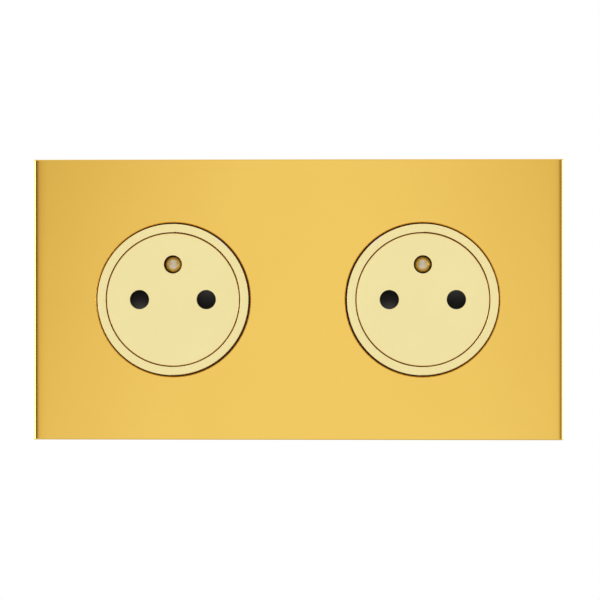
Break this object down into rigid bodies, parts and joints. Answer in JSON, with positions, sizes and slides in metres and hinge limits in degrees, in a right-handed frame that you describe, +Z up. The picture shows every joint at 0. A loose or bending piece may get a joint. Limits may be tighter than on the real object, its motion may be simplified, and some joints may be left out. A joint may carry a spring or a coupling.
{
  "type": "double wall socket",
  "caption": "Flush double wall socket: polished brass plate over round earthed outlets whose sprung faces sink under the plug, each with a turning shutter behind its pin holes.",
  "frame": {"origin": "on the wall plane, midway between the two outlets' axes", "axes": "+X right along the plate as seen from the room, +Y into the wall, +Z up"},
  "size_m": [0.151, 0.0396, 0.0798],
  "materials": {
    "polished_brass": "polished, lacquered",
    "champagne_metal": "satin champagne",
    "black_plastic": "fine matt moulding",
    "grey_plastic": "fine matt moulding",
    "zinc_steel": "bright zinc plating",
    "spring_steel": "drawn wire",
    "contact_brass": "stamped, bright",
    "nickel": "nickel plated"
  },
  "bodies": {
    "root": {"front_plate": "polished_brass", "clip_frame": "black_plastic", "support_frame": "zinc_steel", "left_trim_ring": "champagne_metal", "left_return_spring": "spring_steel", "left_well_body": "black_plastic", "left_well_floor": "black_plastic", "left_terminal_base": "grey_plastic", "left_line_contact": "contact_brass", "left_neutral_contact": "contact_brass", "left_earth_pin": "nickel", "left_earth_strap": "contact_brass", "left_line_clamp": "contact_brass", "left_neutral_clamp": "contact_brass", "left_earth_clamp": "contact_brass", "left_terminal_screws": "zinc_steel", "left_rear_cover": "grey_plastic", "left_housing_screws": "zinc_steel", "right_trim_ring": "champagne_metal", "right_return_spring": "spring_steel", "right_well_body": "black_plastic", "right_well_floor": "black_plastic", "right_terminal_base": "grey_plastic", "right_line_contact": "contact_brass", "right_neutral_contact": "contact_brass", "right_earth_pin": "nickel", "right_earth_strap": "contact_brass", "right_line_clamp": "contact_brass", "right_neutral_clamp": "contact_brass", "right_earth_clamp": "contact_brass", "right_terminal_screws": "zinc_steel", "right_rear_cover": "grey_plastic", "right_housing_screws": "zinc_steel"},
    "left_face": {"left_face_disc": "champagne_metal", "left_disc_carrier": "black_plastic", "left_carrier_back": "black_plastic", "left_carrier_screw": "zinc_steel", "left_shutter_spring": "spring_steel"},
    "left_shutter": {"left_shutter": "black_plastic"},
    "right_face": {"right_face_disc": "champagne_metal", "right_disc_carrier": "black_plastic", "right_carrier_back": "black_plastic", "right_carrier_screw": "zinc_steel", "right_shutter_spring": "spring_steel"},
    "right_shutter": {"right_shutter": "black_plastic"}
  },
  "joints": [
    {"name": "left_face_slide", "type": "slide", "parent": "root", "child": "left_face", "axis": [0, 1, 0], "range_m": [0, 0.015], "stiffness_N_per_m": 400, "springref_m": -0.008, "deforming": ["left_return_spring"]},
    {"name": "left_shutter_turn", "type": "hinge", "parent": "left_face", "child": "left_shutter", "pos_m": [-0.0355, 0, 0], "axis": [0, -1, 0], "range_deg": [0, 38], "stiffness_Nm_per_rad": 0.002, "springref_deg": -28.65, "deforming": ["left_shutter_spring"]},
    {"name": "right_face_slide", "type": "slide", "parent": "root", "child": "right_face", "axis": [0, 1, 0], "range_m": [0, 0.015], "stiffness_N_per_m": 400, "springref_m": -0.008, "deforming": ["right_return_spring"]},
    {"name": "right_shutter_turn", "type": "hinge", "parent": "right_face", "child": "right_shutter", "pos_m": [0.0355, 0, 0], "axis": [0, -1, 0], "range_deg": [0, 38], "stiffness_Nm_per_rad": 0.002, "springref_deg": -28.65, "deforming": ["right_shutter_spring"]}
  ]
}
